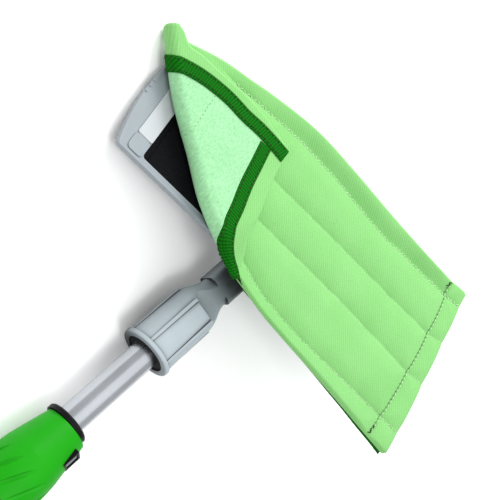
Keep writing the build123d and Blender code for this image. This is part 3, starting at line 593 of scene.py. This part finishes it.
def place(xy, lift):
    """Puts a point of the flat drawing, lifted off the sheet's middle, in the plate's frame."""
    gap, nearest = distance_to(fold_axis, xy)
    foot, inward = fold_axis[nearest], axis_in[nearest]
    side = np.einsum("...k,...k->...", xy - foot, inward)
    curl = curl_at(foot)
    angle = np.clip(-side / curl, 0, math.pi)
    under = np.clip(-side - math.pi * curl, 0, None)
    radius = curl + lift
    rolled_xy = foot - inward * (radius * np.sin(angle) - under)[..., None]
    rolled_z = MIDDLE_LEVEL + curl + radius * np.cos(angle)
    high = MIDDLE_LEVEL + 2 * curl
    settled = PAD_TOP + 0.5 + 0.9 + 1.4 * openness(xy)
    wave = 0.55 * np.sin(xy[..., 0] / 11 + 0.7) * np.sin(xy[..., 1] / 15) * smoothstep(3, 20, side)
    crease_x, crease_y = xy[..., 0] + 67, xy[..., 1] + 26
    across = crease_x * 0.64 - crease_y * 0.77
    along_crease = crease_x * 0.77 + crease_y * 0.64
    wave = wave + 0.9 * np.exp(-((across / 1.8) ** 2)) * np.exp(-((along_crease / 9) ** 2))
    wave = wave + 0.8 * np.exp(-((along_crease + 2) / 13) ** 2) * np.exp(-((across - 7) / 5) ** 2)
    down = smoothstep(3, 60, side)
    flat_z = high * (1 - down) + np.minimum(high, settled) * down + wave * openness(xy) + lift
    flat = side > 0
    out_xy = np.where(flat[..., None], xy, rolled_xy)
    out_z = np.where(flat, flat_z, rolled_z)
    return np.concatenate([out_xy, out_z[..., None]], axis=-1)


FAN = 190
REACH = 200
BEYOND = 44
fan = np.linspace(0, 1, FAN)
picks = fan * (len(fold_axis) - 1)
numbers = np.arange(len(fold_axis))
axis_points = np.stack([np.interp(picks, numbers, fold_axis[:, k]) for k in (0, 1)], 1)
inward = np.stack([np.interp(picks, numbers, axis_in[:, k]) for k in (0, 1)], 1)
free_a = smooth_line(EDGE_A)
free_b = smooth_line(EDGE_B)
tip = free_a[-1]
curl_here = curl_at(axis_points)
outside = axis_points[:, None] - inward[:, None] * (
    math.pi * curl_here[:, None] * np.linspace(1, 0, BEYOND, endpoint=False)[None])[..., None]
reach = np.linspace(0, 1, REACH - BEYOND)
side_a = np.stack([np.interp(reach, np.linspace(0, 1, 400), free_a[:, k]) for k in (0, 1)], 1)
side_b = np.stack([np.interp(reach, np.linspace(0, 1, 400), free_b[:, k]) for k in (0, 1)], 1)
straight_a = axis_points[0] * (1 - reach[:, None]) + tip * reach[:, None]
straight_b = axis_points[-1] * (1 - reach[:, None]) + tip * reach[:, None]
near_a = (1 - fan[:, None, None]) * (side_a - straight_a)[None]
near_b = fan[:, None, None] * (side_b - straight_b)[None]
inside = axis_points[:, None] * (1 - reach[None, :, None]) + tip * reach[None, :, None] + near_a + near_b
flap_xy = np.concatenate([outside, inside], axis=1)
edge_a = flap_xy[0]
edge_b = flap_xy[-1]
gap_a, _ = distance_to(edge_a, flap_xy)
gap_b, _ = distance_to(edge_b, flap_xy)
free_gap = np.minimum(gap_a, gap_b)
thick = half_thickness(flap_xy)
half = thick * np.sqrt(np.clip(1 - (1 - np.clip(free_gap / ROUND, 0, 1)) ** 2, 0.0, 1))
tape_a_line = smooth_line(TAPE_A, 240)
tape_b_line = smooth_line(TAPE_B, 240)


def beside_tapes(xy):
    """Signed distances to the tapes' middles: positive is towards the flap's free edges."""
    out = []
    for line in (tape_a_line, tape_b_line):
        gap, nearest = distance_to(line, xy)
        run = np.gradient(line, axis=0)[nearest]
        run /= np.linalg.norm(run, axis=-1)[..., None]
        offset = xy - line[nearest]
        turn = run[..., 0] * offset[..., 1] - run[..., 1] * offset[..., 0]
        out.append(turn)
    return out


past_a, past_b = beside_tapes(flap_xy)
seat = np.exp(-((past_a / 4.5) ** 4)) + np.exp(-((past_b / 4.5) ** 4))
half = half - 0.35 * np.clip(seat, 0, 1) * (half > 1.0)
flap_top = place(flap_xy, half)
flap_under = place(flap_xy, -half)
points, faces, slots = closed_shell(flap_top, flap_under)
flap_uv = np.concatenate([flap_xy.reshape(-1, 2)] * 2) * MM
flat_centres = np.array([flap_uv[list(f)].mean(axis=0) / MM for f in faces])
centre_a, centre_b = beside_tapes(flat_centres)
banded = (centre_a > 0) | (centre_b > 0)
slots = [0 if bottom or band else 1 for bottom, band in zip(slots, banded)]
cover_flap = mesh_object("cover_folded_corner", points, faces, [front_twill, mint_backing], "cover",
                         flap_uv, slots)
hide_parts("cover_flap")


def rows_beside(line, near, far, count, stop, tapered):
    """A grid of flat points beside a line, to its right, between two distances from it.

    Where tapered is below 1, that is the share of the width that is left at the line's start.
    """
    run = np.gradient(line, axis=0)
    run /= np.linalg.norm(run, axis=1)[:, None] + 1e-12
    across = np.stack([run[:, 1], -run[:, 0]], axis=1)
    length = np.concatenate([[0], np.cumsum(np.linalg.norm(np.diff(line, axis=0), axis=1))])
    wanted = np.linspace(0, stop, 220) * length[-1]
    base = np.stack([np.interp(wanted, length, line[:, k]) for k in (0, 1)], 1)
    side = np.stack([np.interp(wanted, length, across[:, k]) for k in (0, 1)], 1)
    gaps = np.linspace(near, far, count)
    width = tapered + (1 - tapered) * smoothstep(0, 14, wanted)
    grid = base[:, None] + side[:, None] * (width[:, None] * gaps[None])[..., None]
    uv = np.dstack([np.repeat(wanted[:, None], count, 1), np.repeat(gaps[None], len(wanted), 0)])
    return grid, uv * MM


def tape_on_flap(name, line, lift, node, stop, tapered):
    grid, uv = rows_beside(line, -TAPE / 2, TAPE / 2, 13, stop, tapered)
    profile = np.sqrt(np.clip(1 - np.abs(np.linspace(-1, 1, 13)) ** 6, 0, 1))[None]
    thinner = half_thickness(grid) - SHEET / 2
    rise = lift + thinner + 0.55 * profile + np.zeros(grid.shape[:2])
    upper = place(grid, rise)
    lower = place(grid, lift + thinner - 0.6)
    upper[..., 2] = np.maximum(upper[..., 2], PLATE_CLEAR)
    lower[..., 2] = np.maximum(lower[..., 2], PLATE_CLEAR + TAPE_LEAST)
    points, faces, _ = closed_shell(upper, lower)
    tape = mesh_object(name, points, faces, [green_tape], "cover", np.concatenate([uv.reshape(-1, 2)] * 2))
    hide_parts(node)
    return tape, grid, rise


tape_a, grid_a, rise_a = tape_on_flap(
    "tape_left_end", tape_a_line, SHEET / 2 + 0.55, "tape_left", 1.0, 1.0)
tape_b, grid_b, rise_b = tape_on_flap(
    "tape_near_edge_folded", tape_b_line[::-1], SHEET / 2, "tape_near_folded", 0.97, 0.3)


def ribbon(name, start, end, z, node, thick=0.9):
    """A flat tape under the pad's edge, from start to end."""
    start, end = np.array(start, float), np.array(end, float)
    run = (end - start) / np.linalg.norm(end - start)
    across = np.array([-run[1], run[0]])
    along_count, across_count = 120, 9
    t = np.linspace(0, np.linalg.norm(end - start), along_count)
    s = np.linspace(-TAPE / 2, TAPE / 2, across_count)
    xy = start + run * t[:, None, None] + across * s[None, :, None]
    fat = np.sqrt(np.clip(1 - np.abs(s / (TAPE / 2)) ** 6, 0.02, 1))[None]
    wobble = 0.12 * np.sin(t / 5.3)[:, None]
    level = z + wobble - pad_droop(xy)
    upper = np.dstack([xy, level + thick / 2 * fat])
    lower = np.dstack([xy, level - thick / 2 * fat])
    points, faces, _ = closed_shell(upper, lower)
    uv = np.concatenate([np.dstack([np.repeat(t[:, None], across_count, 1),
                                    np.repeat(s[None], along_count, 0)]).reshape(-1, 2)] * 2) * MM
    tape = mesh_object(name, points, faces, [green_tape], "cover", uv)
    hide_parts(node)
    return tape


tape_near = ribbon("tape_near_edge", (-4, -51.5), (148.5, -69.8), 0.0, "tape_near")
tape_far = ribbon("tape_far_edge", (-96, 48.5), (144, 54), 0.0, "tape_far")
tape_right = ribbon("tape_right_end", (139.5, -66), (139.5, 58), 0.0, "tape_right")

# ---------------------------------------------------------------- stitches


def stitches(name, places, directions, normals, material, length=2.2, radius=0.26, body="cover"):
    """Short arched threads, one at each place, pointing along its direction."""
    points, faces = [], []
    steps, sides = 5, 6
    for place_at, direction, normal in zip(places, directions, normals):
        direction = direction / np.linalg.norm(direction)
        across = np.cross(normal, direction)
        first = len(points)
        for i in range(steps):
            t = i / (steps - 1)
            arch = radius * 1.4 * math.sin(math.pi * t) - radius * 0.4
            thin = radius * (0.45 + 0.55 * math.sin(math.pi * t))
            centre = place_at + direction * length * (t - 0.5) + normal * arch
            for k in range(sides):
                turn = 2 * math.pi * k / sides
                points.append(centre + thin * (math.cos(turn) * across + math.sin(turn) * normal))
        for i in range(steps - 1):
            for k in range(sides):
                a, b = first + i * sides + k, first + i * sides + (k + 1) % sides
                faces.append((a, b, b + sides, a + sides))
        faces.append(tuple(first + k for k in range(sides))[::-1])
        faces.append(tuple(first + (steps - 1) * sides + k for k in range(sides)))
    return mesh_object(name, points, faces, [material], body)


def seam_on_pad(name, line, pitch, material, zigzag=0.0, sink=0.25, length=2.2, radius=0.26):
    """Stitches along a line on the pad's top."""
    run = np.linalg.norm(np.diff(line, axis=0), axis=1)
    reached = np.concatenate([[0], np.cumsum(run)])
    wanted = np.arange(pitch, reached[-1], pitch)
    xy = np.stack([np.interp(wanted, reached, line[:, k]) for k in (0, 1)], 1)
    step = np.gradient(xy, axis=0)
    z = pad_height(xy) - pad_droop(xy) + radius - sink
    places = np.column_stack([xy, z])
    turn = zigzag * np.where(np.arange(len(xy)) % 2, 1, -1)
    cosine, sine = np.cos(turn), np.sin(turn)
    directions = np.column_stack([
        step[:, 0] * cosine - step[:, 1] * sine, step[:, 0] * sine + step[:, 1] * cosine, 0 * turn])
    normals = np.tile([0.0, 0.0, 1.0], (len(xy), 1))
    return stitches(name, places, directions, normals, material, length, radius)


def clipped(line, low_x, high_x):
    return line[(line[:, 0] > low_x) & (line[:, 0] < high_x)]


# For each groove: where its seam starts, pitch, zigzag angle, sink, stitch length and thread radius
GROOVE_SEAMS = {
    "far": (-92, 3.1, 0.55, -0.15, 3.0, 0.44),
    "upper": (-40, 2.6, 0, 0.2, 2.3, 0.26),
    "lower": (-40, 2.6, 0, 0.2, 2.3, 0.26),
    "near": (-14, 3.1, 0.4, 0.05, 3.0, 0.36),
}
SEAM_END = 147
for groove, (begins, pitch, zigzag, sink, length, radius) in GROOVE_SEAMS.items():
    sewn = clipped(groove_lines[groove], begins, SEAM_END)
    seam_on_pad("seam_" + groove, sewn, pitch, pale_thread, zigzag, sink, length, radius)
hem_y = np.linspace(-70, 62, 200)
hem_line = np.column_stack([hem_x(hem_y), hem_y])
seam_on_pad("seam_hem", hem_line, 3.4, pale_thread, 0, -0.15, 2.3, 0.5)
# Painted shadow: short dark green threads beside each hem stitch stand for shade in the needle holes.
hem_dark = hem_line + np.array([-0.8, 1.7])
seam_on_pad("seam_hem_holes", hem_dark, 3.4, green_shadow, 0.4, 0.15, 0.9, 0.34)
for name, start_y, end_y in (("bartack_near", -71.5, -62), ("bartack_far", 57, 63.5)):
    bar = np.column_stack([np.linspace(HEM_X - 4.2, HEM_X - 2.4, 40), np.linspace(start_y, end_y, 40)])
    seam_on_pad(name, bar, 1.7, dark_thread, 0.9, 0.0, 3.0, 0.42)


def seam_on_flap(name, grid, rise, column, material, pitch=3.0, length=2.1, radius=0.34):
    """Stitches along one line of a tape's grid of flat points."""
    line = grid[:, column]
    run = np.linalg.norm(np.diff(line, axis=0), axis=1)
    reached = np.concatenate([[0], np.cumsum(run)])
    wanted = np.arange(2, reached[-1] - 2, pitch)
    xy = np.stack([np.interp(wanted, reached, line[:, k]) for k in (0, 1)], 1)
    lift = np.interp(wanted, reached, rise[:, column])
    here = place(xy, lift)
    ahead = place(xy + np.gradient(xy, axis=0) * 0.1, lift)
    above = place(xy, lift + 0.5)
    normals = above - here
    normals /= np.linalg.norm(normals, axis=1)[:, None]
    shown = here[:, 2] > PLATE_CLEAR + 2 * radius
    return stitches(name, here[shown], (ahead - here)[shown], normals[shown], material, length, radius)


for side, grid, rise in (("left", grid_a, rise_a), ("near", grid_b, rise_b)):
    for number, column in ((1, 2), (2, 10)):
        seam_on_flap(f"seam_tape_{side}_{number}", grid, rise, column, brown_thread)
mint_line = np.column_stack([np.full(60, -98.5) + np.linspace(0.5, -0.5, 60), np.linspace(-12, 24, 60)])
mint_rise = np.full((60, 1), SHEET / 2)
seam_on_flap("seam_mint", mint_line[:, None], mint_rise, 0, green_thread, 3.2, 1.6, 0.2)

# ---------------------------------------------------------------- room, light and camera


def in_row(local):
    return PLATE + U * local[0] + V * local[1] + N * local[2]


# Above 255, to make up for linear()'s dimming: the floor's albedo comes out at about 0.95
WHITE = (286, 286, 286)
floor_mesh = bpy.data.meshes.new("floor")
SPAN = 6.0
floor_corners = [(x * SPAN, y * SPAN, 0) for x, y in ((-1, -1), (1, -1), (1, 1), (-1, 1))]
floor_mesh.from_pydata(floor_corners, [], [(0, 1, 2, 3)])
floor = bpy.data.objects.new("floor", floor_mesh)
bpy.context.collection.objects.link(floor)
floor_mesh.materials.append(new_material("floor_white", WHITE, 0.9, specular=0.1)[0])

camera_data = bpy.data.cameras.new("camera")
camera_data.lens = LENS
camera_data.sensor_width = 36.0
camera = bpy.data.objects.new("camera", camera_data)
bpy.context.collection.objects.link(camera)
camera_at, aim = in_row(CAMERA_AT), in_row(CAMERA_AIM)
up = U * CAMERA_UP[0] + V * CAMERA_UP[1] + N * CAMERA_UP[2]
back = (camera_at - aim).normalized()
right = up.cross(back).normalized()
up = back.cross(right)
camera.matrix_world = Matrix.Translation(camera_at) @ Matrix((right, up, back)).transposed().to_4x4()
bpy.context.scene.camera = camera


def area_light(name, towards, size, energy, target, distance=1.6):
    """A soft box that shines on the target from a direction of the row frame."""
    data = bpy.data.lights.new(name, "AREA")
    data.shape = "SQUARE"
    data.size = size
    data.energy = energy
    light = bpy.data.objects.new(name, data)
    bpy.context.collection.objects.link(light)
    direction = towards.normalized()
    light.location = target + direction * distance
    light.rotation_euler = direction.to_track_quat("Z", "Y").to_euler()
    return light


key = right * 0.85 + up * 0.9 + back * 0.2
fill = right * 0.42 - up * 0.40 + back * 0.8
area_light("key", key, 0.9, 22 * STUDIO, PLATE)
area_light("fill", fill, 0.5, 5 * STUDIO, PLATE)
area_light("overhead", Vector((0, 0, 1)), 2.6, 11 * STUDIO, PLATE, 2.0)
world = bpy.data.worlds.new("studio")
bpy.context.scene.world = world
world.use_nodes = True
world.node_tree.nodes["Background"].inputs["Color"].default_value = (1, 1, 1, 1)
world.node_tree.nodes["Background"].inputs["Strength"].default_value = 0.56 * STUDIO
bpy.context.scene.view_settings.view_transform = "Standard"
bpy.context.scene.view_settings.look = "None"
